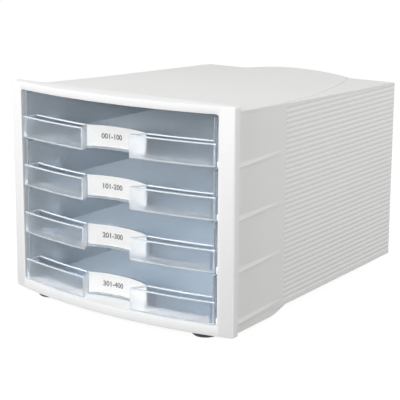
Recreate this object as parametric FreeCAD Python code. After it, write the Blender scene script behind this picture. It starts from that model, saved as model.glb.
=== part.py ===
import FreeCAD, Part
import math
import os

os.makedirs("parts", exist_ok=True)
V = FreeCAD.Vector

# Whole unit
overall_width = 294.0
overall_depth = 368.0
overall_height = 237.5
foot_height = 6.5
drawer_count = 4
overrun = 1.0

# Bowed front frame: a hollow moulding open at its back
bow_rise = 20.0
frame_flange = 8.0
frame_skin = 2.6
frame_return = 2.2
stile_width = 17.0
top_rail = 8.3
bottom_rail = 10.7
opening_radius = 3.0
frame_radius = 2.0
tongue_depth = 24.0
tongue_slack = 0.4

# Tapered body behind the frame
body_step = 6.0
side_taper = 7.0
panel_wall = 2.6
roof_front_drop = 7.4
roof_back_drop = 17.5

# Ribs and fading ledges on the side panels
ribs_per_drawer = 10
rib_depth = 0.5
rib_width = 4.2
rib_start_share = 0.28
ledge_reach = 2.4
ledge_drop = 0.8
ledge_rise = 3.9
ledge_end_share = 0.27

# Crowned top cover
cover_wall = 2.4
cover_rim = 8.0
crown_step = 0.8
crown_front_rise = 6.8
crown_back_rise = 6.0
crown_back_inset = 63.0
crown_start_share = 0.10
crown_sections = 7

# Base with a plinth that narrows towards the back
base_plate = 2.0
plinth_height = 5.9
plinth_wall = 2.4
plinth_turn_share = 0.225
plinth_back_inset = 62.0
plinth_back_gap = 6.0
plinth_radius = 90.0
plinth_rib = 2.0
plinth_rib_shares = (0.33, 0.62)

# Rubber feet
foot_radius = 14.5
foot_seat = 1.2
foot_edge = 1.2
foot_slack = 0.15
boss_wall = 2.5
front_foot_inset = 41.5
front_foot_back = 31.5
rear_foot_inset = 20.0
rear_foot_gap = 34.0

# Drawer trays, their runners and their stops
tray_gap = 4.6
tray_wall = 2.0
tray_lift = 0.4
tray_front_height = 50.8
tray_back_height = 41.0
tray_rear_height = 36.0
tray_corner = 1.6
runner_gap = 0.6
runner_top = 6.7
runner_web = 2.2
runner_lip = 2.4
runner_lift = 0.6
nose_gap = 1.6
slide_gap = 0.3
flange_wall = 2.0
flange_gap = 0.6
flange_start = 12.0
tab_length = 10.0
tab_height = 5.0
stop_length = 4.0
stop_height = 11.0
stop_back = 66.0
stop_gap = 1.2
bumper_depth = 8.0
bumper_width = 12.0
bumper_x = 70.0
bumper_low = 10.0
bumper_height = 18.0
bumper_gap = 0.3
latch_width = 24.0
latch_reach = 5.0
latch_wall = 2.0

# Drawer fronts: two frosted grips beside a hollow for the label
grip_set_back = 0.6
plate_gap = 2.2
grip_height = 24.2
grip_wall = 2.0
grip_depth = 17.0
grip_toe = 1.4
front_joint = 34.0
notch_front_half = 30.8
label_half = 40.0
label_hollow = 27.0
label_ledge = 3.4
card_wall = 0.5
card_height = 22.0
window_wall = 1.0
window_height = 22.2
label_slack = 0.1
label_end_gap = 1.1

# Back panel
back_field_depth = 0.8
back_field_margin = 18.0

# Derived places
half_width = overall_width / 2
y_front = -overall_depth / 2
y_back = overall_depth / 2
bow_radius = (half_width ** 2 + bow_rise ** 2) / (2 * bow_rise)
frame_low = foot_height
frame_back = y_front + bow_rise + frame_flange
opening_half = half_width - stile_width
opening_low = frame_low + bottom_rail
opening_high = overall_height - top_rail
pitch = (opening_high - opening_low) / drawer_count
body_length = y_back - frame_back
base_low = frame_low + plinth_height
base_top = base_low + base_plate
tongue_back = frame_back + tongue_depth
plinth_back_half = half_width - body_step - side_taper - plinth_back_inset
tray_half = opening_half - tray_gap
flange_half = opening_half - flange_gap
runner_half = tray_half + runner_gap
flange_low = runner_top + slide_gap
tray_back = y_back - panel_wall - bumper_depth - bumper_gap
joint_y = y_front + front_joint
plate_half = opening_half - plate_gap
plate_back = grip_set_back + grip_wall


def box(x0, x1, y0, y1, z0, z1):
    return Part.makeBox(x1 - x0, y1 - y0, z1 - z0, V(x0, y0, z0))


def plan(points, z0, z1):
    """Upright prism over a plan outline."""
    ring = [V(x, y, z0) for x, y in points]
    return Part.Face(Part.makePolygon(ring + ring[:1])).extrude(V(0, 0, z1 - z0))


def side_on(points, x0, x1):
    """Prism across the unit over an outline seen from the side."""
    ring = [V(x0, y, z) for y, z in points]
    return Part.Face(Part.makePolygon(ring + ring[:1])).extrude(V(x1 - x0, 0, 0))


def fuse_all(shapes):
    return shapes[0].multiFuse(shapes[1:]).removeSplitter()


def both_sides(shape):
    return [shape, shape.mirror(V(0, 0, 0), V(1, 0, 0))]


def bow_y(x, behind):
    """Depth of the front's curve, moved back by a given amount."""
    return y_front + bow_radius - math.sqrt((bow_radius - behind) ** 2 - x ** 2)


def bow_slab(half, behind, far, z0, z1):
    left = V(-half, bow_y(half, behind), z0)
    right = V(half, bow_y(half, behind), z0)
    nose = V(0, bow_y(0, behind), z0)
    far_right = V(half, far, z0)
    far_left = V(-half, far, z0)
    edges = [Part.Arc(left, nose, right).toShape()]
    edges.append(Part.makeLine(right, far_right))
    edges.append(Part.makeLine(far_right, far_left))
    edges.append(Part.makeLine(far_left, left))
    return Part.Face(Part.Wire(edges)).extrude(V(0, 0, z1 - z0))


def side_x(y, inset):
    """Half width of the tapering body, less an inset."""
    return half_width - body_step - inset - side_taper * (y - frame_back) / body_length


def body_slab(y0, y1, inset, z0, z1):
    wide = side_x(y0, inset)
    narrow = side_x(y1, inset)
    return plan([(-wide, y0), (wide, y0), (narrow, y1), (-narrow, y1)], z0, z1)


def roof_z(y):
    drop = roof_front_drop + (roof_back_drop - roof_front_drop) * (y - frame_back) / body_length
    return overall_height - drop


def under_roof(drop):
    """Everything below the sloping roof plane, less a drop."""
    y0 = frame_back - body_length
    y1 = y_back + body_length
    outline = [(y0, 0), (y1, 0), (y1, roof_z(y1) - drop), (y0, roof_z(y0) - drop)]
    return side_on(outline, -overall_width, overall_width)


def edges_along(shape, axis, keep):
    """Straight edges along an axis whose middle passes a test."""
    found = []
    for edge in shape.Edges:
        if edge.Curve.TypeId != "Part::GeomLine":
            continue
        way = edge.tangentAt(edge.FirstParameter)
        if abs(abs(way.dot(axis)) - 1) < 1e-6 and keep(edge.CenterOfMass):
            found.append(edge)
    return found


def levels():
    return [opening_low + pitch * i for i in range(drawer_count)]


def foot_places():
    front = (half_width - front_foot_inset, y_front + front_foot_back)
    rear = (plinth_back_half - rear_foot_inset, y_back - rear_foot_gap)
    return {"front_left": (-front[0], front[1]), "front_right": front,
            "rear_left": (-rear[0], rear[1]), "rear_right": rear}


def foot_seat_at(place):
    start = V(place[0], place[1], frame_low - overrun)
    return Part.makeCylinder(foot_radius + foot_slack, foot_seat + overrun, start)


# The frame and the body panels

def frame_tongue():
    """Shallow tray behind the bottom rail, inside the plinth's skirt."""
    inset = plinth_wall + tongue_slack
    shell = body_slab(frame_back, tongue_back, inset, frame_low, base_low)
    hollow = body_slab(frame_back - overrun, tongue_back - frame_skin, inset + frame_skin,
                       frame_low + frame_skin, base_low + overrun)
    return shell.cut(hollow)


def runner_nose(z):
    """Front end of a runner, moulded on the frame beside the drawer."""
    near = bow_y(plate_half, plate_back) + nose_gap
    return box(runner_half, opening_half + frame_return, near, frame_back,
               z + runner_lift, z + runner_top)


def front_frame():
    shell = bow_slab(half_width, 0, frame_back, frame_low, overall_height)
    corner = edges_along(shell, V(0, 1, 0), lambda c: abs(c.x) > opening_half)
    shell = shell.makeFillet(frame_radius, corner)
    opening = box(-opening_half, opening_half, y_front - overrun, frame_back + overrun,
                  opening_low, opening_high)
    opening = opening.makeFillet(opening_radius, edges_along(opening, V(0, 1, 0), lambda c: True))
    collar = box(-opening_half - frame_return, opening_half + frame_return, y_front, frame_back + overrun,
                 opening_low - frame_return, opening_high + frame_return)
    pocket = bow_slab(half_width - frame_skin, frame_skin, frame_back + overrun,
                      frame_low + frame_skin, roof_z(frame_back) - cover_wall)
    inside = body_slab(y_front, frame_back + overrun, panel_wall, frame_low, overall_height)
    pocket = pocket.common(inside).cut(collar)
    shell = shell.cut(opening).cut(pocket)
    noses = []
    for z in levels():
        noses += both_sides(runner_nose(z))
    shell = fuse_all([shell, frame_tongue()] + noses)
    places = foot_places()
    for name in ("front_left", "front_right"):
        shell = shell.cut(foot_seat_at(places[name]))
    return shell


def runner(z):
    """L-shaped ledge inside a side panel."""
    web = plan([(runner_half, frame_back), (side_x(frame_back, panel_wall / 2), frame_back),
                (side_x(y_back, panel_wall / 2), y_back - panel_wall), (runner_half, y_back - panel_wall)],
               z + runner_top - runner_web, z + runner_top)
    lip = box(runner_half, runner_half + runner_lip, frame_back, y_back - panel_wall,
              z + runner_lift, z + runner_top)
    return [web, lip]


def stop_rib(z):
    """Block that the tab on a drawer's flange runs against."""
    y1 = y_front + frame_flange + stop_back
    y0 = y1 - stop_length
    low = z + flange_low + flange_wall + slide_gap
    near = tray_half + runner_gap + stop_gap
    return plan([(near, y0), (side_x(y0, panel_wall / 2), y0), (side_x(y1, panel_wall / 2), y1), (near, y1)],
                low, low + stop_height)


def latch_tab(z):
    """Tab that reaches into the frame behind its seat wall."""
    y0 = frame_back - latch_reach
    y1 = frame_back + latch_reach
    outer = panel_wall
    points = [(side_x(y0, outer + latch_wall), y0), (side_x(y0, outer), y0)]
    points += [(side_x(y1, outer), y1), (side_x(y1, outer + latch_wall), y1)]
    return plan(points, z, z + latch_width)


def rib_teeth():
    """Comb that leaves a row of level ribs on the outside."""
    y0 = frame_back + body_length * rib_start_share
    run = y_back + overrun - y0
    x = side_x(y0, 0)
    reach = x + overrun
    slope = rib_width / 2 * (1 + overrun / rib_depth)
    step = pitch / ribs_per_drawer
    count = int((roof_z(y0) - base_top) / step)
    teeth = []
    for k in range(1, count + 1):
        z = base_top + step * k
        tooth = [V(reach, y0, z - slope), V(x - rib_depth, y0, z), V(reach, y0, z + slope)]
        face = Part.Face(Part.makePolygon(tooth + tooth[:1]))
        teeth.append(face.extrude(V(-side_taper * run / body_length, run, 0)))
    return teeth


def fading_ledge(z):
    """Sloping ledge that stands out most at the frame and fades out behind it."""
    run = body_length * ledge_end_share
    low = z - ledge_drop
    high = z + ledge_rise
    wall = side_x(frame_back, 0)
    slope = [V(wall, frame_back, high), V(wall, frame_back, low), V(wall + ledge_reach, frame_back, low)]
    bar = Part.Face(Part.makePolygon(slope + slope[:1])).extrude(V(-side_taper * ledge_end_share, run, 0))
    points = [(wall, frame_back), (wall + ledge_reach, frame_back)]
    points.append((side_x(frame_back + run, 0), frame_back + run))
    return bar.common(plan(points, low, high))


def side_panel():
    points = [(side_x(frame_back, panel_wall), frame_back), (side_x(frame_back, 0), frame_back)]
    points += [(side_x(y_back, 0), y_back), (side_x(y_back, panel_wall), y_back)]
    wall = plan(points, base_top, overall_height)
    for tooth in rib_teeth():
        wall = wall.cut(tooth)
    added = []
    for z in levels():
        added += runner(z) + [stop_rib(z), latch_tab(z + flange_low + flange_wall + stop_height)]
        added.append(fading_ledge(z))
    shape = fuse_all([wall] + added)
    return shape.common(under_roof(cover_wall))


def crown_half(y, inset):
    share = (y - frame_back) / body_length
    gone = max(0.0, (share - crown_start_share) / (1 - crown_start_share))
    return side_x(y, inset) - crown_back_inset * gone ** 2


def crown_section(y, inset, sink, lower):
    """Outline of the crown across the unit at one depth."""
    share = (y - frame_back) / body_length
    rise = crown_front_rise + (crown_back_rise - crown_front_rise) * share
    half = crown_half(y, inset)
    base = roof_z(y) - lower
    low_left = V(-half, y, base - sink)
    low_right = V(half, y, base - sink)
    right = V(half, y, base + crown_step)
    left = V(-half, y, base + crown_step)
    top = V(0, y, base + rise)
    edges = [Part.makeLine(low_left, low_right), Part.makeLine(low_right, right)]
    edges.append(Part.Arc(right, top, left).toShape())
    edges.append(Part.makeLine(left, low_left))
    return Part.Wire(edges)


def crown_body(y0, y1, inset, sink, lower):
    last = crown_sections - 1
    places = [y0 + (y1 - y0) * k / last for k in range(crown_sections)]
    return Part.makeLoft([crown_section(y, inset, sink, lower) for y in places], True)


def top_cover():
    plate = body_slab(frame_back, y_back, 0, 0, overall_height)
    plate = plate.common(under_roof(0)).cut(under_roof(cover_wall))
    crown = crown_body(frame_back, y_back, 0, cover_wall / 2, 0)
    hollow = crown_body(frame_back + cover_rim, y_back - cover_rim, cover_rim, overrun, cover_wall)
    return fuse_all([plate, crown]).cut(hollow)


def bumpers():
    y0 = y_back - panel_wall - bumper_depth
    found = []
    for z in levels():
        low = z + bumper_low
        post = box(bumper_x - bumper_width / 2, bumper_x + bumper_width / 2, y0, y_back - panel_wall / 2,
                   low, low + bumper_height)
        found += both_sides(post)
    return found


def back_panel():
    panel = body_slab(y_back - panel_wall, y_back, panel_wall, base_top, overall_height)
    panel = panel.common(under_roof(cover_wall))
    half = side_x(y_back, panel_wall) - back_field_margin
    field = box(-half, half, y_back - back_field_depth, y_back + overrun,
                base_top + back_field_margin, roof_z(y_back) - cover_wall - back_field_margin)
    return fuse_all([panel.cut(field)] + bumpers())


def plinth_block(inset, front, z0, z1):
    turn = frame_back + body_length * plinth_turn_share
    back = y_back - plinth_back_gap - inset
    right = [(side_x(front, inset), front), (side_x(turn, inset), turn), (plinth_back_half - inset, back)]
    left = [(-x, y) for x, y in reversed(right)]
    block = plan(right + left, z0, z1)
    turns = edges_along(block, V(0, 0, 1), lambda c: abs(c.y - turn) < inset + overrun)
    return block.makeFillet(plinth_radius, turns)


def base_plinth():
    floor = body_slab(frame_back, y_back, 0, base_low, base_top)
    skirt = plinth_block(0, frame_back, frame_low, base_low)
    skirt = skirt.cut(plinth_block(plinth_wall, frame_back - overrun, frame_low - overrun, base_low + overrun))
    inner = plinth_block(plinth_wall / 2, frame_back, frame_low, base_low)
    pieces = [floor, skirt]
    for share in plinth_rib_shares:
        y = frame_back + body_length * share
        rib = box(-half_width, half_width, y, y + plinth_rib, frame_low, base_low)
        pieces.append(rib.common(inner))
    places = foot_places()
    for name in ("rear_left", "rear_right"):
        x, y = places[name]
        pieces.append(Part.makeCylinder(foot_radius + boss_wall, base_low - frame_low, V(x, y, frame_low)))
    shape = fuse_all(pieces)
    for name in ("rear_left", "rear_right"):
        shape = shape.cut(foot_seat_at(places[name]))
    return shape


def foot(place):
    pad = Part.makeCylinder(foot_radius, foot_height + foot_seat, V(place[0], place[1], 0))
    rim = [e for e in pad.Edges if e.Curve.TypeId == "Part::GeomCircle" and e.CenterOfMass.z < foot_edge]
    return pad.makeChamfer(foot_edge, rim)


# The drawers

def tray(z):
    low = z + tray_lift
    floor = box(-tray_half, tray_half, joint_y, tray_back, low, low + tray_wall)
    rear = box(-tray_half, tray_half, tray_back - tray_wall, tray_back, low, z + tray_rear_height)
    side_front = bow_y(tray_half, plate_back)
    outline = [(side_front, low), (tray_back, low), (tray_back, z + tray_back_height)]
    outline.append((side_front, z + tray_front_height))
    wall = side_on(outline, tray_half - tray_wall, tray_half)
    tip = edges_along(wall, V(1, 0, 0), lambda c: c.z > low + tray_wall)
    wall = wall.makeFillet(tray_corner, tip)
    flange = box(tray_half - tray_wall / 2, flange_half, frame_back + flange_start, tray_back,
                 z + flange_low, z + flange_low + flange_wall)
    tab = box(tray_half - tray_wall / 2, flange_half, tray_back - tab_length, tray_back,
              z + flange_low, z + flange_low + flange_wall + tab_height)
    pieces = [floor, rear]
    for piece in (wall, flange, tab):
        pieces += both_sides(piece)
    return fuse_all(pieces)


def hollow_chord():
    return bow_y(label_half, grip_depth)


def hollow_radius():
    sag = y_front + label_hollow - hollow_chord()
    return (label_half ** 2 + sag ** 2) / (2 * sag)


def hollow_disc(radius, z0, z1):
    """Upright disc about the centre of the label's hollow."""
    centre = y_front + label_hollow - hollow_radius()
    return Part.makeCylinder(radius, z1 - z0, V(0, centre, z0))


def notch_x(y, spread):
    """Half width of the gap between the grips, wider at its back."""
    front = bow_y(notch_front_half, grip_set_back)
    share = (y - front) / (hollow_chord() - front)
    return notch_front_half + spread + (label_half - notch_front_half) * share


def notch(far, spread, z0, z1):
    near = y_front - overrun
    points = [(-notch_x(near, spread), near), (notch_x(near, spread), near)]
    points += [(notch_x(far, spread), far), (-notch_x(far, spread), far)]
    return plan(points, z0, z1)


def beside_grips(half, low, top):
    """Room behind the front plate's ends, for the tray's sides."""
    room = bow_slab(plate_half + overrun, plate_back, joint_y + overrun, low - overrun, top + overrun)
    middle = box(-half, half, y_front, joint_y + overrun, low - overrun, top + overrun)
    return room.cut(middle)


def drawer_front(z):
    low = z + tray_lift
    top = low + grip_height
    shelf = low + tray_wall
    half = tray_half - tray_wall
    block = bow_slab(plate_half, grip_set_back, joint_y, low, top)
    toe = [e for e in block.Edges if e.Curve.TypeId == "Part::GeomCircle" and e.CenterOfMass.z < shelf]
    block = block.makeChamfer(grip_toe, toe)
    behind = bow_slab(half + overrun, grip_depth + grip_wall, joint_y + overrun, shelf, top + overrun)
    behind = behind.cut(hollow_disc(hollow_radius() + grip_wall, low, top + overrun + overrun))
    trough = bow_slab(half - grip_wall, plate_back, joint_y, shelf, top + overrun)
    trough = trough.cut(bow_slab(half, grip_depth, joint_y + overrun, low, top + overrun + overrun))
    trough = trough.cut(notch(joint_y, grip_wall, low, top + overrun + overrun))
    gap = notch(joint_y, 0, shelf, top + overrun)
    gap = gap.common(hollow_disc(hollow_radius(), low, top + overrun))
    floor_gap = notch(joint_y, 0, low - overrun, shelf)
    floor_gap = floor_gap.common(hollow_disc(hollow_radius() - label_ledge, low - overrun, shelf))
    for cutter in (beside_grips(half, low, top), behind, trough, gap, floor_gap):
        block = block.cut(cutter)
    return block


def label_sheet(z, near, far, height):
    """Upright sheet that follows the label's hollow."""
    low = z + tray_lift + tray_wall
    radius = hollow_radius()
    sheet = hollow_disc(radius - near, low, low + height)
    sheet = sheet.cut(hollow_disc(radius - far, low - overrun, low + height + overrun))
    half = label_half - label_end_gap
    y0 = hollow_chord() - label_hollow
    return sheet.common(box(-half, half, y0, y_front + label_hollow + overrun, low, low + height))


def label_card(z):
    return label_sheet(z, label_slack, label_slack + card_wall, card_height)


def label_window(z):
    near = label_slack + card_wall + label_slack
    return label_sheet(z, near, near + window_wall, window_height)


def save(name, shape):
    if len(shape.Solids) == 1:
        shape = shape.Solids[0]
    shape.exportStep("parts/" + name + ".step")


save("front_frame", front_frame())
right_panel = side_panel()
save("side_panel_right", right_panel)
save("side_panel_left", right_panel.mirror(V(0, 0, 0), V(1, 0, 0)))
save("top_cover", top_cover())
save("back_panel", back_panel())
save("base_plinth", base_plinth())
for name, place in foot_places().items():
    save("foot_" + name, foot(place))
for number, z in enumerate(reversed(levels()), start=1):
    drawer = "drawer_%d_" % number
    save(drawer + "tray", tray(z))
    save(drawer + "front", drawer_front(z))
    save(drawer + "card", label_card(z))
    save(drawer + "window", label_window(z))
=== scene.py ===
"""Looks for a desktop drawer unit: finishes, label numerals, rubber feet, stage and camera."""

import math

import bmesh
import bpy
from bpy.props import FloatProperty, FloatVectorProperty, PointerProperty
from mathutils import Matrix, Vector
from mathutils.bvhtree import BVHTree


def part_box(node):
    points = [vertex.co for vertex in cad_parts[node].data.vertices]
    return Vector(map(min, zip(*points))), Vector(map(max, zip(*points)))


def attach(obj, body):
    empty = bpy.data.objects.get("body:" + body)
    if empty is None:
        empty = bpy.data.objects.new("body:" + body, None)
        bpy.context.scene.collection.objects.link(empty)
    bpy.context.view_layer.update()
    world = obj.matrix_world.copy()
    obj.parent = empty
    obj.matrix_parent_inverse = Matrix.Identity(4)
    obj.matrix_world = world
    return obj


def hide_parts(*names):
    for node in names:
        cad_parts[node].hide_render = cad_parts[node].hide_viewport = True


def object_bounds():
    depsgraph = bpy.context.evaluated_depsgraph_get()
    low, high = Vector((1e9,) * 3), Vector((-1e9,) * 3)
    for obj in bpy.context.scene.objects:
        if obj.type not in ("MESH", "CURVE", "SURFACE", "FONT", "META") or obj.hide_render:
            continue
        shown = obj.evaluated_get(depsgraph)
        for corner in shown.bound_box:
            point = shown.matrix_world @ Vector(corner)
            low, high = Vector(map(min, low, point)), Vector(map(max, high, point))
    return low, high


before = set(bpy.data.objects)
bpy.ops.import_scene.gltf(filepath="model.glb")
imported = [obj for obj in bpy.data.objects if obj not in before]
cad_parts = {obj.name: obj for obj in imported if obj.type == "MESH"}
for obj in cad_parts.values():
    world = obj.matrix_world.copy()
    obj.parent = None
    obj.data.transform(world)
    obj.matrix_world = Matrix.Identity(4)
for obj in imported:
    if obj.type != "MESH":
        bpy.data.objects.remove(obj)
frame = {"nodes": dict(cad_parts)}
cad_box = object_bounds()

bl_info = {
    "name": "Desktop Drawer Unit",
    "version": (1, 0, 0),
    "blender": (4, 5, 0),
    "location": "View3D > Sidebar > Drawer Unit",
    "description": "Finishes, numerals and a stage for a desktop unit with four frosted drawers",
    "category": "Object",
}

SHELL_NODES = ("side_panel_left", "side_panel_right", "top_cover", "back_panel", "base_plinth")
FOOT_NODES = ("foot_front_left", "foot_front_right", "foot_rear_left", "foot_rear_right")
DRAWERS = (1, 2, 3, 4)
NUMBERS_PER_DRAWER = 100
NUMERAL_BOLD_SHARE = 0.035

# Points closer than this, in metres, are one point
MERGE_DISTANCE = 1e-6

# Faces at less than the first angle are joined, and those at more than the second have an edge
FLAT_ANGLE = math.radians(0.05)
SHARP_ANGLE = math.radians(32)

# Shares of a face's normal that make the face count as level, or as turned some way
LEVEL_NORMAL = 0.95
FACING_NORMAL = 0.60

BEVEL_SEGMENTS = 2
SPIN_STEPS = 64

# Half section of a foot, in shares of its radius and height
FOOT_OUTLINE = (
    (0.0, 0.10), (0.40, 0.10), (0.48, 0.0), (0.78, 0.0), (0.90, 0.06), (0.97, 0.20), (1.0, 0.40),
    (1.0, 0.62), (0.97, 0.82), (0.92, 1.0), (0.0, 1.0))

# Order of the finishes on a drawer front. A tray has the first three. The rim finishes carry
# painted highlights, and the finish of faces behind the front wall carries painted shade.
PLAIN, RIM_HIGHLIGHT, LEVEL, BEHIND_SHADE, DIM_RIM_HIGHLIGHT, END = range(6)


# Settings

class DrawerUnitColours(bpy.types.PropertyGroup):
    """Colours of the finishes"""

    frame: FloatVectorProperty(
        name="Front Frame", description="Colour of the bowed front frame",
        subtype="COLOR", size=3, min=0, max=1, default=(0.80, 0.80, 0.805))
    housing: FloatVectorProperty(
        name="Housing", description="Colour of the sides, cover, back and base",
        subtype="COLOR", size=3, min=0, max=1, default=(0.79, 0.79, 0.775))
    tray: FloatVectorProperty(
        name="Tray", description="Tint of the clear drawer trays",
        subtype="COLOR", size=3, min=0, max=1, default=(0.80, 0.855, 0.905))
    frost: FloatVectorProperty(
        name="Frosted Front", description="Tint of the frosted drawer fronts",
        subtype="COLOR", size=3, min=0, max=1, default=(0.95, 0.96, 0.97))
    # Painted shade: the wall behind the grips gets a darker frost than the front, which darkens
    # what shows through the grips.
    back_frost_shade: FloatVectorProperty(
        name="Frosted Back", description="Tint of the frosted wall behind the grips",
        subtype="COLOR", size=3, min=0, max=1, default=(0.62, 0.66, 0.70))
    # The rim colour is a painted highlight: narrow rims and rounded edges are painted pale and
    # nearly opaque for the light that clear edges gather.
    rim_highlight: FloatVectorProperty(
        name="Bright Rims", description="Colour of the narrow rims that gather light",
        subtype="COLOR", size=3, min=0, max=1, default=(0.72, 0.76, 0.81))
    # The dim rim colour is a dimmer painted highlight, with painted shade, on the fronts' rims that
    # lie deeper and on the trays' rims.
    dim_rim_highlight: FloatVectorProperty(
        name="Soft Rims", description="Colour of the rims that lie deeper and look dimmer",
        subtype="COLOR", size=3, min=0, max=1, default=(0.46, 0.53, 0.58))
    card: FloatVectorProperty(
        name="Card", description="Colour of the label cards",
        subtype="COLOR", size=3, min=0, max=1, default=(0.775, 0.775, 0.77))
    ink: FloatVectorProperty(
        name="Ink", description="Colour of the numerals",
        subtype="COLOR", size=3, min=0, max=1, default=(0.045, 0.047, 0.05))
    rubber: FloatVectorProperty(
        name="Rubber", description="Colour of the feet",
        subtype="COLOR", size=3, min=0, max=1, default=(0.022, 0.023, 0.024))


class DrawerUnitSizes(bpy.types.PropertyGroup):
    """Small sizes that the CAD model leaves out"""

    frame_edge: FloatProperty(
        name="Frame Edge", description="Radius on the front frame's visible edges",
        default=0.0008, min=0, unit="LENGTH", subtype="DISTANCE")
    shell_edge: FloatProperty(
        name="Shell Edge", description="Radius that the housing's edges are shaded with",
        default=0.0006, min=0, unit="LENGTH", subtype="DISTANCE")
    tray_edge: FloatProperty(
        name="Tray Edge", description="Radius on the edges of the trays' walls",
        default=0.0009, min=0, unit="LENGTH", subtype="DISTANCE")
    grip_edge: FloatProperty(
        name="Grip Edge", description="Radius on the edges of the grips' walls",
        default=0.0006, min=0, unit="LENGTH", subtype="DISTANCE")
    rim_width: FloatProperty(
        name="Rim Width", description="Widest face that counts as a bright rim",
        default=0.0026, min=0, unit="LENGTH", subtype="DISTANCE")
    # Painted highlight: the band along the grips' upper edges gets the rim highlight finish.
    lip_highlight_band: FloatProperty(
        name="Lip Band", description="Depth of the bright band along the grips' upper edges",
        default=0.0014, min=0, unit="LENGTH", subtype="DISTANCE")
    # Painted highlight: the band along the grips' lower edges gets the rim highlight finish.
    toe_highlight_band: FloatProperty(
        name="Toe Band", description="Depth of the bright band along the grips' lower edges",
        default=0.0022, min=0, unit="LENGTH", subtype="DISTANCE")
    numeral_height: FloatProperty(
        name="Numeral Height", description="Height of the numerals on the cards",
        default=0.0076, min=0.001, unit="LENGTH", subtype="DISTANCE")
    numeral_shift: FloatProperty(
        name="Numeral Shift",
        description="How far the numerals stand to the right of the cards' middle",
        default=-0.011, unit="LENGTH", subtype="DISTANCE")
    ink_thickness: FloatProperty(
        name="Ink Thickness", description="How far the numerals stand proud of the cards",
        default=0.00004, min=0, unit="LENGTH", subtype="DISTANCE")


class DrawerUnitStage(bpy.types.PropertyGroup):
    """Camera and light"""

    azimuth: FloatProperty(
        name="Azimuth", description="Camera's turn round the unit, from straight in front",
        default=math.radians(36.198), subtype="ANGLE", unit="ROTATION")
    elevation: FloatProperty(
        name="Elevation", description="Camera's angle above the horizon",
        default=math.radians(11.914), subtype="ANGLE", unit="ROTATION")
    roll: FloatProperty(
        name="Roll", description="Camera's turn about its own line of sight",
        default=math.radians(0.340), subtype="ANGLE", unit="ROTATION")
    aim: FloatVectorProperty(
        name="Aim", description="Point that the camera looks at",
        default=(-0.01198, -0.00356, 0.13941), subtype="XYZ", unit="LENGTH")
    distance: FloatProperty(
        name="Distance", description="From the camera to that point",
        default=1.40931, min=0.1, unit="LENGTH", subtype="DISTANCE")
    lens: FloatProperty(
        name="Lens", description="Focal length on a 36 mm sensor, in millimetres",
        default=111.485, min=1)
    shift: FloatProperty(
        name="Shift", description="Upward shift of the frame, as a share of its width",
        default=-0.1)
    key_power: FloatProperty(
        name="Key Light", description="Power of the soft light at the front left",
        default=10.6, min=0, unit="POWER")
    front_power: FloatProperty(
        name="Front Light", description="Power of the low light that reaches into the drawers",
        default=30.0, min=0, unit="POWER")
    fill_power: FloatProperty(
        name="Fill Light", description="Power of the soft light at the right",
        default=7.5, min=0, unit="POWER")
    sky_level: FloatProperty(
        name="Sky Level", description="Strength of the even light from all round",
        default=0.50, min=0)


# Shading helpers

# Noise seldom leaves these values
NOISE_LOW = 0.3
NOISE_HIGH = 0.7

# Rays that find the shading of a rounded edge
EDGE_SAMPLES = 6

# Sockets of a colour mix
MIX_FACTOR, MIX_RESULT, MIX_FIRST, MIX_SECOND = 0, 2, 6, 7


def mixed(tree, factor, first, second):
    """A shader that goes from the first to the second as the factor goes from zero to one."""
    choice = tree.nodes.new("ShaderNodeMixShader")
    tree.links.new(factor, choice.inputs["Fac"])
    tree.links.new(first, choice.inputs[1])
    tree.links.new(second, choice.inputs[2])
    return choice.outputs["Shader"]


def plain_material(name):
    """A material with one Principled shader, and that shader."""
    material = bpy.data.materials.new(name)
    material.use_nodes = True
    tree = material.node_tree
    tree.nodes.clear()
    output = tree.nodes.new("ShaderNodeOutputMaterial")
    shader = tree.nodes.new("ShaderNodeBsdfPrincipled")
    tree.links.new(shader.outputs["BSDF"], output.inputs["Surface"])
    return material, shader


def clear_material(name, lamp_tint):
    """A material whose Principled shader lets the lamps through with a tint."""
    material, shader = plain_material(name)
    tree = material.node_tree
    path = tree.nodes.new("ShaderNodeLightPath")
    veil = tree.nodes.new("ShaderNodeBsdfTransparent")
    veil.inputs["Color"].default_value = (*lamp_tint, 1)
    look = mixed(tree, path.outputs["Is Shadow Ray"], shader.outputs["BSDF"], veil.outputs["BSDF"])
    tree.links.new(look, tree.nodes["Material Output"].inputs["Surface"])
    return material, shader


def grain(shader, scale, detail, stretch=(1.0, 1.0, 1.0)):
    """Noise on the piece's own coordinates, in repeats per metre."""
    tree = shader.id_data
    place = tree.nodes.new("ShaderNodeTexCoord")
    mapping = tree.nodes.new("ShaderNodeMapping")
    mapping.inputs["Scale"].default_value = stretch
    noise = tree.nodes.new("ShaderNodeTexNoise")
    noise.inputs["Scale"].default_value = scale
    noise.inputs["Detail"].default_value = detail
    tree.links.new(place.outputs["Object"], mapping.inputs["Vector"])
    tree.links.new(mapping.outputs["Vector"], noise.inputs["Vector"])
    return noise.outputs["Fac"]


def ranged(shader, noise, low, high):
    """The noise spread over a new range."""
    tree = shader.id_data
    spread = tree.nodes.new("ShaderNodeMapRange")
    spread.inputs["From Min"].default_value = NOISE_LOW
    spread.inputs["From Max"].default_value = NOISE_HIGH
    spread.inputs["To Min"].default_value = low
    spread.inputs["To Max"].default_value = high
    tree.links.new(noise, spread.inputs["Value"])
    return spread.outputs["Result"]


def vary_colour(shader, colour, noise, change):
    """Makes the colour lighter or darker by a small share as the noise goes up and down."""
    tree = shader.id_data
    mix = tree.nodes.new("ShaderNodeMix")
    mix.data_type = "RGBA"
    mix.inputs[MIX_FIRST].default_value = (*[c * (1 - change) for c in colour], 1)
    mix.inputs[MIX_SECOND].default_value = (*[min(1, c * (1 + change)) for c in colour], 1)
    tree.links.new(ranged(shader, noise, 0, 1), mix.inputs[MIX_FACTOR])
    tree.links.new(mix.outputs[MIX_RESULT], shader.inputs["Base Color"])


def vary_roughness(shader, noise, low, high):
    shader.id_data.links.new(ranged(shader, noise, low, high), shader.inputs["Roughness"])


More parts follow.
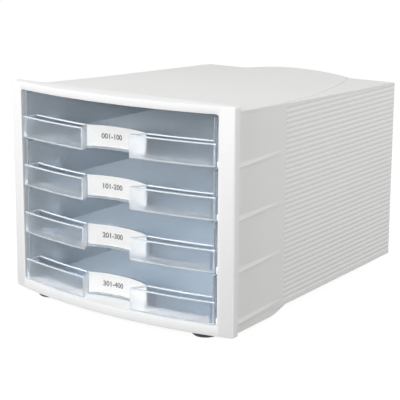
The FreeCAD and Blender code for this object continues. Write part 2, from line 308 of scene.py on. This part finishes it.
def bump_surface(shader, noise, depth, strength, edge=0.0):
    """Adds small relief, over edges that are shaded round."""
    tree = shader.id_data
    bump = tree.nodes.new("ShaderNodeBump")
    bump.inputs["Distance"].default_value = depth
    bump.inputs["Strength"].default_value = strength
    tree.links.new(noise, bump.inputs["Height"])
    if edge:
        soft = tree.nodes.new("ShaderNodeBevel")
        soft.samples = EDGE_SAMPLES
        soft.inputs["Radius"].default_value = edge
        tree.links.new(soft.outputs["Normal"], bump.inputs["Normal"])
    tree.links.new(bump.outputs["Normal"], shader.inputs["Normal"])


# Finishes

# What is left of the lamps' light behind a wall
TRAY_LAMP_TINT = (0.83, 0.86, 0.885)
FRONT_LAMP_TINT = (0.93, 0.94, 0.95)
BACK_LAMP_TINT = (0.60, 0.62, 0.64)

# Share of the light that goes through
FRONT_WALL_CLEARNESS = 0.985
FRONT_FLOOR_CLEARNESS = 0.89
FRONT_END_CLEARNESS = 0.45
RIM_CLEARNESS = 0.10
SOFT_RIM_CLEARNESS = 0.40
TRAY_WALL_CLEARNESS = 0.66
TRAY_FLOOR_CLEARNESS = 0.55

# Least roughness of the trays, how much it varies, and their pale bloom at a flat angle
TRAY_WALL_HAZE = 0.30
TRAY_FLOOR_HAZE = 0.80
HAZE_SPREAD = 0.08
TRAY_WALL_BLOOM = 0.1
TRAY_FLOOR_BLOOM = 0.9


def moulded_plastic(name, colour, edge):
    """Opaque plastic with a fine eroded grain and faint flow marks."""
    material, shader = plain_material(name)
    flow = grain(shader, scale=9.0, detail=3.0, stretch=(1.0, 1.0, 2.5))
    spark = grain(shader, scale=1500.0, detail=2.0)
    vary_colour(shader, colour, flow, change=0.012)
    vary_roughness(shader, spark, low=0.42, high=0.56)
    shader.inputs["Specular IOR Level"].default_value = 0.4
    bump_surface(shader, spark, depth=0.00005, strength=0.35, edge=edge)
    return material


def clear_plastic(name, tint, clearness, haze, bloom):
    """Tray plastic: clear but hazy, with long faint scuffs from paper."""
    material, shader = clear_material(name, TRAY_LAMP_TINT)
    cloud = grain(shader, scale=16.0, detail=2.0)
    scuff = grain(shader, scale=120.0, detail=3.0, stretch=(1.0, 0.08, 1.0))
    vary_colour(shader, tint, cloud, change=0.03)
    vary_roughness(shader, scuff, low=haze, high=haze + HAZE_SPREAD)
    shader.inputs["Transmission Weight"].default_value = clearness
    shader.inputs["IOR"].default_value = 1.4
    shader.inputs["Sheen Weight"].default_value = bloom
    shader.inputs["Sheen Roughness"].default_value = 0.4
    shader.inputs["Sheen Tint"].default_value = (*tint, 1)
    return material


def frosted_plastic(name, tint, clearness, lamp_tint):
    """Front plastic: a fine frost that blurs what lies behind it."""
    material, shader = clear_material(name, lamp_tint)
    cloud = grain(shader, scale=30.0, detail=2.0)
    frost = grain(shader, scale=2200.0, detail=2.0)
    vary_colour(shader, tint, cloud, change=0.02)
    vary_roughness(shader, frost, low=0.34, high=0.42)
    shader.inputs["Transmission Weight"].default_value = clearness
    shader.inputs["IOR"].default_value = 1.2
    shader.inputs["Specular IOR Level"].default_value = 0.1
    return material


def rim_highlight_plastic(name, colour, clearness):
    """Edges of clear walls, painted pale and nearly opaque as a painted highlight for the light
    that they gather.
    """
    material, shader = clear_material(name, FRONT_LAMP_TINT)
    cloud = grain(shader, scale=60.0, detail=2.0)
    vary_colour(shader, colour, cloud, change=0.03)
    vary_roughness(shader, cloud, low=0.16, high=0.26)
    shader.inputs["Transmission Weight"].default_value = clearness
    shader.inputs["IOR"].default_value = 1.5
    return material


def window_plastic(name):
    """Thin clear film before the card."""
    material, shader = plain_material(name)
    ripple = grain(shader, scale=45.0, detail=1.0)
    shader.inputs["Base Color"].default_value = (1, 1, 1, 1)
    vary_roughness(shader, ripple, low=0.02, high=0.06)
    shader.inputs["Alpha"].default_value = 0.1
    bump_surface(shader, ripple, depth=0.0002, strength=0.1)
    return material


def card_paper(name, colour):
    """Smooth white card with a faint fibre."""
    material, shader = plain_material(name)
    fibre = grain(shader, scale=900.0, detail=4.0, stretch=(1.0, 1.0, 0.4))
    vary_colour(shader, colour, fibre, change=0.012)
    vary_roughness(shader, fibre, low=0.75, high=0.9)
    bump_surface(shader, fibre, depth=0.00003, strength=0.3)
    return material


def printed_ink(name, colour):
    """Dry ink, a little uneven."""
    material, shader = plain_material(name)
    speck = grain(shader, scale=1200.0, detail=3.0)
    vary_colour(shader, colour, speck, change=0.2)
    vary_roughness(shader, speck, low=0.5, high=0.7)
    return material


def foot_rubber(name, colour):
    """Black rubber with a slight bloom."""
    material, shader = plain_material(name)
    bloom = grain(shader, scale=220.0, detail=4.0)
    pore = grain(shader, scale=1800.0, detail=2.0)
    vary_colour(shader, colour, bloom, change=0.25)
    vary_roughness(shader, bloom, low=0.28, high=0.42)
    bump_surface(shader, pore, depth=0.00005, strength=0.4)
    return material


# Modelling helpers

def cover_node(node, material):
    """Gives a CAD node its finish."""
    slots = frame["nodes"][node].data.materials
    slots.clear()
    slots.append(material)


def merged_copy(node):
    """The node's mesh as one closed surface, with its flat regions joined."""
    shape = bmesh.new()
    shape.from_mesh(frame["nodes"][node].data)
    bmesh.ops.remove_doubles(shape, verts=shape.verts, dist=MERGE_DISTANCE)
    bmesh.ops.dissolve_limit(
        shape, angle_limit=FLAT_ANGLE, use_dissolve_boundaries=False,
        verts=shape.verts, edges=shape.edges, delimit=set())
    return shape


def is_sharp(edge):
    return len(edge.link_faces) == 2 and edge.calc_face_angle() > SHARP_ANGLE


def round_edges(shape, edges, width):
    """Bevels the edges without leaving the shape's own box, and gives the new faces."""
    box = [(min(values), max(values)) for values in zip(*(v.co for v in shape.verts))]
    made = bmesh.ops.bevel(
        shape, geom=edges, offset=width, offset_type="OFFSET", segments=BEVEL_SEGMENTS,
        profile=0.5, affect="EDGES", clamp_overlap=False, material=-1)
    for vertex in shape.verts:
        vertex.co = [min(max(value, low), high) for value, (low, high) in zip(vertex.co, box)]
    return made["faces"]


def smooth_regions(shape):
    """Groups of faces that meet without a sharp edge."""
    left = set(shape.faces)
    while left:
        region = [left.pop()]
        for face in region:
            for edge in face.edges:
                if not is_sharp(edge):
                    near = left.intersection(edge.link_faces)
                    left -= near
                    region += near
        yield region


def mean_width(region):
    """Width of a strip with the region's area and outline."""
    inside = set(region)
    outline = [e for f in region for e in f.edges if not inside.issuperset(e.link_faces)]
    return 2 * sum(f.calc_area() for f in region) / sum(e.calc_length() for e in outline)


def add_piece(name, shape, body, materials):
    """Puts a finished shape into the scene, on a CAD body."""
    for face in shape.faces:
        face.smooth = True
    for edge in shape.edges:
        edge.smooth = not is_sharp(edge)
    mesh = bpy.data.meshes.new(name)
    for material in materials:
        mesh.materials.append(material)
    shape.to_mesh(mesh)
    shape.free()
    # A copy of a CAD node still has the node's normals, which no longer fit
    old_normals = mesh.attributes.get("custom_normal")
    if old_normals:
        mesh.attributes.remove(old_normals)
    piece = bpy.data.objects.new(name, mesh)
    bpy.context.scene.collection.objects.link(piece)
    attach(piece, body)
    return piece


def rimmed_copy(node, rim_width, edge_width, level):
    """Copy of a clear moulding, with its edges rounded above a level, and bright rims.

    The rims are the narrow faces and the rounded edges, which get a painted highlight. A face with
    no room for two rounded edges keeps its edges sharp.
    """
    shape = merged_copy(node)
    kept_sharp = set()
    for region in smooth_regions(shape):
        width = mean_width(region)
        for face in region:
            face.material_index = RIM_HIGHLIGHT if width < rim_width else PLAIN
            if width < 2 * edge_width:
                kept_sharp.update(face.edges)
    outer = [e for e in shape.edges if is_sharp(e) and e.is_convex and e not in kept_sharp
             and max(v.co.z for v in e.verts) > level]
    for face in round_edges(shape, outer, edge_width):
        face.material_index = RIM_HIGHLIGHT
    return shape


def cut_across(shape, level):
    """Adds edges where the faces cross a level."""
    bmesh.ops.bisect_plane(
        shape, geom=shape.verts[:] + shape.edges[:] + shape.faces[:], dist=MERGE_DISTANCE,
        plane_co=(0, 0, level), plane_no=(0, 0, 1))


def is_level(face):
    return abs(face.normal.z) > LEVEL_NORMAL


def is_above(face, level):
    return face.calc_center_median().z > level


def is_beside(face, x):
    return abs(face.calc_center_median().x) > x


def is_toe(face, level):
    """Whether a face lies below a level and is turned to the front."""
    return not is_above(face, level) and face.normal.y < -FACING_NORMAL


def is_ledge(face, x, y):
    """Whether a face lies between the grips and behind a depth."""
    middle = face.calc_center_median()
    return abs(middle.x) < x and middle.y > y


def faces_middle(face, x):
    """Whether a face lies no further out than a distance and is turned to the unit's middle."""
    side = face.calc_center_median().x
    return abs(side) < x and face.normal.x * side < -FACING_NORMAL * abs(side)


def set_faces(shape, finish, chosen, was=PLAIN):
    """Gives the faces of one finish that pass a test another one."""
    for face in shape.faces:
        if face.material_index == was and chosen(face):
            face.material_index = finish


def hidden_faces(shape):
    """Faces across the front that have a whole wall of the same shape before them."""
    tree = BVHTree.FromBMesh(shape)
    ahead = Vector((0, -1, 0))
    hidden = set()
    for face in shape.faces:
        if abs(face.normal.y) < FACING_NORMAL:
            continue
        crossed = 0
        hit = face.calc_center_median() + ahead * MERGE_DISTANCE
        while hit:
            hit = tree.ray_cast(hit, ahead)[0]
            if hit:
                crossed += 1
                hit = hit + ahead * MERGE_DISTANCE
        if crossed > 1:
            hidden.add(face)
    return hidden


def numeral_shape(text, height):
    """Flat outline of a row of numerals in the upright plane, centred on the origin."""
    letters = bpy.data.curves.new("numeral_outline", "FONT")
    letters.body = text
    letters.align_x = "CENTER"
    letters.align_y = "CENTER"
    letters.size = height
    letters.offset = height * NUMERAL_BOLD_SHARE
    holder = bpy.data.objects.new("numeral_outline", letters)
    bpy.context.scene.collection.objects.link(holder)
    depsgraph = bpy.context.evaluated_depsgraph_get()
    mesh = bpy.data.meshes.new_from_object(holder.evaluated_get(depsgraph))
    bpy.data.objects.remove(holder)
    bpy.data.curves.remove(letters)
    shape = bmesh.new()
    shape.from_mesh(mesh)
    bpy.data.meshes.remove(mesh)
    bmesh.ops.remove_doubles(shape, verts=shape.verts, dist=MERGE_DISTANCE)
    bmesh.ops.rotate(
        shape, verts=shape.verts, cent=(0, 0, 0), matrix=Matrix.Rotation(math.radians(90), 3, "X"))
    return shape


def lay_on_card(shape, card, shift, thickness):
    """Moves a flat outline on to the card's curved face, and thickens it towards the front."""
    low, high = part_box(card)
    middle = (low + high) / 2
    front = cad_box[0].y
    surface = BVHTree.FromObject(frame["nodes"][card], bpy.context.evaluated_depsgraph_get())
    for vertex in shape.verts:
        start = Vector((middle.x + shift + vertex.co.x, front, middle.z + vertex.co.z))
        hit = surface.ray_cast(start, Vector((0, 1, 0)))[0]
        if hit is None:
            raise RuntimeError(f"the numerals reach past {card}")
        vertex.co = hit
    made = bmesh.ops.extrude_face_region(shape, geom=shape.faces[:])
    risen = [v for v in made["geom"] if isinstance(v, bmesh.types.BMVert)]
    bmesh.ops.translate(shape, verts=risen, vec=(0, -thickness, 0))
    bmesh.ops.recalc_face_normals(shape, faces=shape.faces)


def front_shape(number, sizes):
    """Drawer front, with each face on the finish that it gets."""
    low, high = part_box(f"drawer_{number}_front")
    card_low, card_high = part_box(f"drawer_{number}_card")
    lip = high.z - sizes.lip_highlight_band
    toe = low.z + sizes.toe_highlight_band
    end = high.x - sizes.rim_width
    ledge = card_low.y - 2 * sizes.rim_width
    shape = rimmed_copy(f"drawer_{number}_front", sizes.rim_width, sizes.grip_edge, toe)
    cut_across(shape, lip)
    cut_across(shape, toe)
    # Painted highlights along the grips' upper and lower edges.
    set_faces(shape, RIM_HIGHLIGHT, lambda face: is_above(face, lip))
    set_faces(shape, RIM_HIGHLIGHT, lambda face: is_toe(face, toe))
    # Rims at the grips' outer ends and on the ledge under the card get the dimmer painted
    # highlight, as painted shade.
    set_faces(shape, DIM_RIM_HIGHLIGHT, lambda face: is_beside(face, end), RIM_HIGHLIGHT)
    set_faces(shape, DIM_RIM_HIGHLIGHT, lambda face: is_ledge(face, card_high.x, ledge), RIM_HIGHLIGHT)
    set_faces(shape, END, lambda face: faces_middle(face, card_high.x + sizes.rim_width))
    set_faces(shape, LEVEL, is_level)
    hidden = hidden_faces(shape)
    # Faces behind the front wall get the darker frost: painted shade.
    set_faces(shape, BEHIND_SHADE, lambda face: face in hidden)
    return shape


def foot_shape(low, high):
    """Rubber foot: a rounded pad with a hollow underneath."""
    radius = (high.x - low.x) / 2
    height = high.z - low.z
    centre = Vector(((low.x + high.x) / 2, (low.y + high.y) / 2, low.z))
    shape = bmesh.new()
    ring = [shape.verts.new(centre + Vector((radius * out, 0, height * up)))
            for out, up in FOOT_OUTLINE]
    edges = [shape.edges.new(pair) for pair in zip(ring, ring[1:])]
    bmesh.ops.spin(
        shape, geom=ring + edges, cent=centre, axis=(0, 0, 1), angle=math.tau, steps=SPIN_STEPS,
        use_merge=True)
    bmesh.ops.remove_doubles(shape, verts=shape.verts, dist=MERGE_DISTANCE)
    bmesh.ops.recalc_face_normals(shape, faces=shape.faces)
    return shape


# Operators

class DRAWERUNIT_OT_front_frame(bpy.types.Operator):
    """Make the front frame with rounded edges"""

    bl_idname = "drawer_unit.front_frame"
    bl_label = "Front Frame"

    def execute(self, context):
        colours, sizes = context.scene.drawer_unit_colours, context.scene.drawer_unit_sizes
        node = "front_frame"
        finish = moulded_plastic("frame_plastic", colours.frame, 0.0)
        shape = merged_copy(node)
        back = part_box("top_cover")[0].y - sizes.frame_edge
        visible = [e for e in shape.edges if is_sharp(e) and e.is_convex
                   and max(v.co.y for v in e.verts) < back]
        round_edges(shape, visible, sizes.frame_edge)
        piece = add_piece("front_frame_moulding", shape, "housing", [finish])
        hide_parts(node)
        return {"FINISHED"}


class DRAWERUNIT_OT_housing(bpy.types.Operator):
    """Finish the sides, cover, back and base"""

    bl_idname = "drawer_unit.housing"
    bl_label = "Housing"

    def execute(self, context):
        colours, sizes = context.scene.drawer_unit_colours, context.scene.drawer_unit_sizes
        finish = moulded_plastic("housing_plastic", colours.housing, sizes.shell_edge)
        for node in SHELL_NODES:
            cover_node(node, finish)
        return {"FINISHED"}


class DRAWERUNIT_OT_feet(bpy.types.Operator):
    """Make the rubber feet"""

    bl_idname = "drawer_unit.feet"
    bl_label = "Feet"

    def execute(self, context):
        finish = foot_rubber("foot_rubber", context.scene.drawer_unit_colours.rubber)
        for node in FOOT_NODES:
            piece = add_piece(node + "_pad", foot_shape(*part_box(node)), "housing", [finish])
            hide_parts(node)
        return {"FINISHED"}


class DRAWERUNIT_OT_trays(bpy.types.Operator):
    """Make the clear trays"""

    bl_idname = "drawer_unit.trays"
    bl_label = "Trays"

    def execute(self, context):
        colours, sizes = context.scene.drawer_unit_colours, context.scene.drawer_unit_sizes
        finishes = [
            clear_plastic(
                "tray_plastic", colours.tray,
                TRAY_WALL_CLEARNESS, TRAY_WALL_HAZE, TRAY_WALL_BLOOM),
            # The trays' rims get the dimmer painted highlight.
            rim_highlight_plastic("tray_rim_highlight", colours.dim_rim_highlight, SOFT_RIM_CLEARNESS),
            clear_plastic(
                "tray_floor_plastic", colours.tray,
                TRAY_FLOOR_CLEARNESS, TRAY_FLOOR_HAZE, TRAY_FLOOR_BLOOM)]
        for number in DRAWERS:
            node = f"drawer_{number}_tray"
            shape = rimmed_copy(node, sizes.rim_width, sizes.tray_edge, cad_box[0].z)
            set_faces(shape, LEVEL, is_level)
            piece = add_piece(node + "_moulding", shape, f"drawer_{number}", finishes)
            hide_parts(node)
        return {"FINISHED"}


class DRAWERUNIT_OT_fronts(bpy.types.Operator):
    """Make the frosted drawer fronts"""

    bl_idname = "drawer_unit.fronts"
    bl_label = "Drawer Fronts"

    def execute(self, context):
        colours, sizes = context.scene.drawer_unit_colours, context.scene.drawer_unit_sizes
        finishes = [
            frosted_plastic("front_frost", colours.frost, FRONT_WALL_CLEARNESS, FRONT_LAMP_TINT),
            # The fronts' rims get the painted highlight.
            rim_highlight_plastic("front_rim_highlight", colours.rim_highlight, RIM_CLEARNESS),
            frosted_plastic(
                "front_floor_frost", colours.frost, FRONT_FLOOR_CLEARNESS, FRONT_LAMP_TINT),
            # Darker frost for the walls behind the grips: painted shade.
            frosted_plastic(
                "front_back_frost_shade", colours.back_frost_shade, FRONT_WALL_CLEARNESS, BACK_LAMP_TINT),
            # Dimmer painted highlight, with painted shade, for rims that lie deeper.
            rim_highlight_plastic("front_dim_rim_highlight", colours.dim_rim_highlight, SOFT_RIM_CLEARNESS),
            frosted_plastic("front_end_frost", colours.frost, FRONT_END_CLEARNESS, FRONT_LAMP_TINT)]
        for number in DRAWERS:
            node = f"drawer_{number}_front"
            shape = front_shape(number, sizes)
            piece = add_piece(node + "_moulding", shape, f"drawer_{number}", finishes)
            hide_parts(node)
        return {"FINISHED"}


class DRAWERUNIT_OT_labels(bpy.types.Operator):
    """Finish the label cards and windows, and print the numerals"""

    bl_idname = "drawer_unit.labels"
    bl_label = "Labels"

    def execute(self, context):
        colours, sizes = context.scene.drawer_unit_colours, context.scene.drawer_unit_sizes
        paper = card_paper("label_card", colours.card)
        film = window_plastic("label_window")
        ink = printed_ink("numeral_ink", colours.ink)
        for number in DRAWERS:
            card = f"drawer_{number}_card"
            cover_node(card, paper)
            cover_node(f"drawer_{number}_window", film)
            last = number * NUMBERS_PER_DRAWER
            text = f"{last - NUMBERS_PER_DRAWER + 1:03d}-{last:03d}"
            shape = numeral_shape(text, sizes.numeral_height)
            lay_on_card(shape, card, sizes.numeral_shift, sizes.ink_thickness)
            add_piece(f"drawer_{number}_numeral", shape, f"drawer_{number}", [ink])
        return {"FINISHED"}


# Stage

# Half width of the floor in metres, and its lightness to other surfaces, in shadow and of its own
FLOOR_REACH = 6.0
FLOOR_BOUNCE = 0.25
FLOOR_SHADOW_SHARE = 0.20
FLOOR_WHITE = 0.92

# Places and sizes of the lamps, and the point that they face, in metres
KEY_PLACE = (-0.70, -1.00, 1.15)
KEY_SIZE = 0.8
FRONT_PLACE = (0.35, -2.43, 0.70)
FRONT_SIZE = 0.6
FILL_PLACE = (1.22, 0.30, 0.72)
FILL_SIZE = 0.7
LAMP_AIM = (0.0, -0.05, 0.14)

# Width of the camera's sensor in millimetres
SENSOR_WIDTH = 36


def seen_directly(tree, kinds):
    """One for rays from the camera and of the other kinds named, and zero for the rest."""
    path = tree.nodes.new("ShaderNodeLightPath")
    total = path.outputs["Is Camera Ray"]
    for name in kinds:
        either = tree.nodes.new("ShaderNodeMath")
        either.operation = "MAXIMUM"
        tree.links.new(total, either.inputs[0])
        tree.links.new(path.outputs[name], either.inputs[1])
        total = either.outputs[0]
    return total


def floor_material():
    """Pale floor that looks white and keeps the unit's soft shadow."""
    material = bpy.data.materials.new("pale_floor")
    material.use_nodes = True
    tree = material.node_tree
    tree.nodes.clear()
    output = tree.nodes.new("ShaderNodeOutputMaterial")
    bounce = tree.nodes.new("ShaderNodeBsdfDiffuse")
    bounce.inputs["Color"].default_value = (*[FLOOR_BOUNCE] * 3, 1)
    shade = tree.nodes.new("ShaderNodeBsdfDiffuse")
    shade.inputs["Color"].default_value = (*[FLOOR_SHADOW_SHARE] * 3, 1)
    white = tree.nodes.new("ShaderNodeEmission")
    white.inputs["Strength"].default_value = FLOOR_WHITE
    look = tree.nodes.new("ShaderNodeAddShader")
    tree.links.new(shade.outputs["BSDF"], look.inputs[0])
    tree.links.new(white.outputs["Emission"], look.inputs[1])
    seen = seen_directly(tree, ("Is Glossy Ray", "Is Transmission Ray"))
    choice = mixed(tree, seen, bounce.outputs["BSDF"], look.outputs["Shader"])
    tree.links.new(choice, output.inputs["Surface"])
    return material


def add_floor():
    shape = bmesh.new()
    bmesh.ops.create_grid(shape, x_segments=1, y_segments=1, size=FLOOR_REACH)
    mesh = bpy.data.meshes.new("floor")
    shape.to_mesh(mesh)
    shape.free()
    mesh.materials.append(floor_material())
    floor = bpy.data.objects.new("floor", mesh)
    bpy.context.scene.collection.objects.link(floor)


def add_sky(level):
    """Even light from all round, in front of a white backdrop."""
    world = bpy.data.worlds.new("studio")
    world.use_nodes = True
    tree = world.node_tree
    tree.nodes.clear()
    output = tree.nodes.new("ShaderNodeOutputWorld")
    light = tree.nodes.new("ShaderNodeBackground")
    light.inputs["Strength"].default_value = level
    backdrop = tree.nodes.new("ShaderNodeBackground")
    backdrop.inputs["Color"].default_value = (1, 1, 1, 1)
    seen = seen_directly(tree, ("Is Glossy Ray",))
    choice = mixed(tree, seen, light.outputs["Background"], backdrop.outputs["Background"])
    tree.links.new(choice, output.inputs["Surface"])
    bpy.context.scene.world = world


def add_lamp(name, place, size, power):
    lamp = bpy.data.lights.new(name, "AREA")
    lamp.shape = "DISK"
    lamp.size = size
    lamp.energy = power
    holder = bpy.data.objects.new(name, lamp)
    holder.location = place
    holder.rotation_euler = (Vector(LAMP_AIM) - Vector(place)).to_track_quat("-Z", "Y").to_euler()
    bpy.context.scene.collection.objects.link(holder)


def add_camera(stage):
    view = bpy.data.cameras.new("front_right_view")
    view.sensor_width = SENSOR_WIDTH
    view.lens = stage.lens
    view.shift_y = stage.shift
    turn = Matrix.Rotation(stage.azimuth, 4, "Z")
    tilt = Matrix.Rotation(math.radians(90) - stage.elevation, 4, "X")
    roll = Matrix.Rotation(stage.roll, 4, "Z")
    back_off = Matrix.Translation((0, 0, stage.distance))
    camera = bpy.data.objects.new("front_right_view", view)
    camera.matrix_world = Matrix.Translation(stage.aim) @ turn @ tilt @ roll @ back_off
    bpy.context.scene.collection.objects.link(camera)
    bpy.context.scene.camera = camera


class DRAWERUNIT_OT_stage(bpy.types.Operator):
    """Set up the floor, the light and the camera"""

    bl_idname = "drawer_unit.stage"
    bl_label = "Stage"

    def execute(self, context):
        stage = context.scene.drawer_unit_stage
        context.scene.view_settings.view_transform = "Standard"
        add_floor()
        add_sky(stage.sky_level)
        add_lamp("key_light", KEY_PLACE, KEY_SIZE, stage.key_power)
        add_lamp("front_light", FRONT_PLACE, FRONT_SIZE, stage.front_power)
        add_lamp("fill_light", FILL_PLACE, FILL_SIZE, stage.fill_power)
        add_camera(stage)
        return {"FINISHED"}


class DRAWERUNIT_PT_sidebar(bpy.types.Panel):
    """Settings and steps of the drawer unit"""

    bl_idname = "DRAWERUNIT_PT_sidebar"
    bl_label = "Drawer Unit"
    bl_space_type = "VIEW_3D"
    bl_region_type = "UI"
    bl_category = "Drawer Unit"

    def draw(self, context):
        for attribute, group in GROUPS.items():
            box = self.layout.box()
            settings = getattr(context.scene, attribute)
            for name in group.__annotations__:
                box.prop(settings, name)
        for operator in STEPS:
            self.layout.operator(operator.bl_idname)


GROUPS = {
    "drawer_unit_colours": DrawerUnitColours,
    "drawer_unit_sizes": DrawerUnitSizes,
    "drawer_unit_stage": DrawerUnitStage,
}
STEPS = (
    DRAWERUNIT_OT_front_frame, DRAWERUNIT_OT_housing, DRAWERUNIT_OT_feet, DRAWERUNIT_OT_trays,
    DRAWERUNIT_OT_fronts, DRAWERUNIT_OT_labels, DRAWERUNIT_OT_stage,
)


def register():
    for part in (*GROUPS.values(), *STEPS, DRAWERUNIT_PT_sidebar):
        bpy.utils.register_class(part)
    for name, group in GROUPS.items():
        setattr(bpy.types.Scene, name, PointerProperty(type=group))


def unregister():
    for name in GROUPS:
        delattr(bpy.types.Scene, name)
    for part in (DRAWERUNIT_PT_sidebar, *reversed(STEPS), *reversed(GROUPS.values())):
        bpy.utils.unregister_class(part)


def main():
    register()
    bpy.ops.drawer_unit.front_frame()
    bpy.ops.drawer_unit.housing()
    bpy.ops.drawer_unit.feet()
    bpy.ops.drawer_unit.trays()
    bpy.ops.drawer_unit.fronts()
    bpy.ops.drawer_unit.labels()
    bpy.ops.drawer_unit.stage()


if __name__ == "__main__":
    main()
